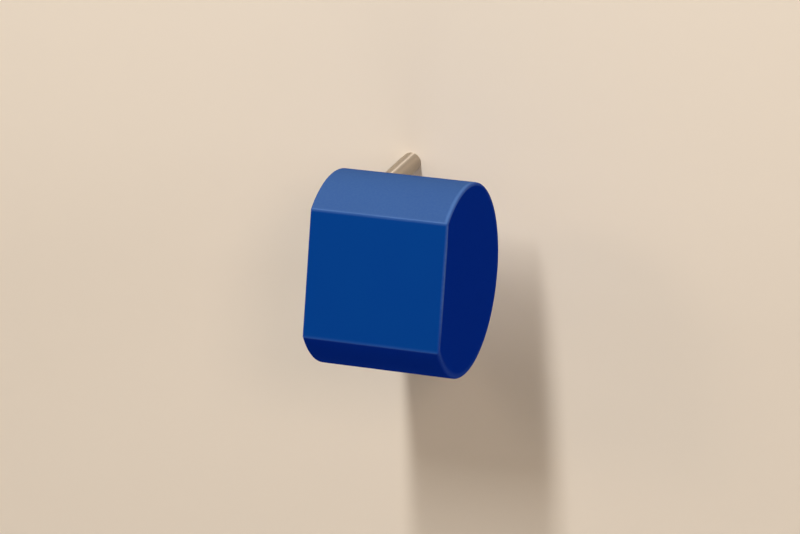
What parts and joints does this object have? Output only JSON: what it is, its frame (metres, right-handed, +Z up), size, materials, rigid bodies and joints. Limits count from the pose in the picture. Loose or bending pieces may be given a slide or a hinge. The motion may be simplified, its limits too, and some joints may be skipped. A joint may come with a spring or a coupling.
{
  "type": "pegboard watch holder",
  "caption": "Short round bar with a tilted flat for a watch head, held off a pegboard by steel pegs near one end so that a closed strap slides on from the other.",
  "frame": {"origin": "midway between the two pegs, on the plane of the board's front face", "axes": "+X along the bar to its free end, +Y into the board along the pegs, +Z up; the tilted flat faces -Y"},
  "size_m": [0.04, 0.0894, 0.055],
  "materials": {
    "body_paint": "solid wood under a smooth satin blue paint",
    "peg_steel": "satin turned stainless steel"
  },
  "bodies": {
    "root": {"holder_body": "body_paint", "upper_peg": "peg_steel", "lower_peg": "peg_steel"}
  },
  "joints": []
}
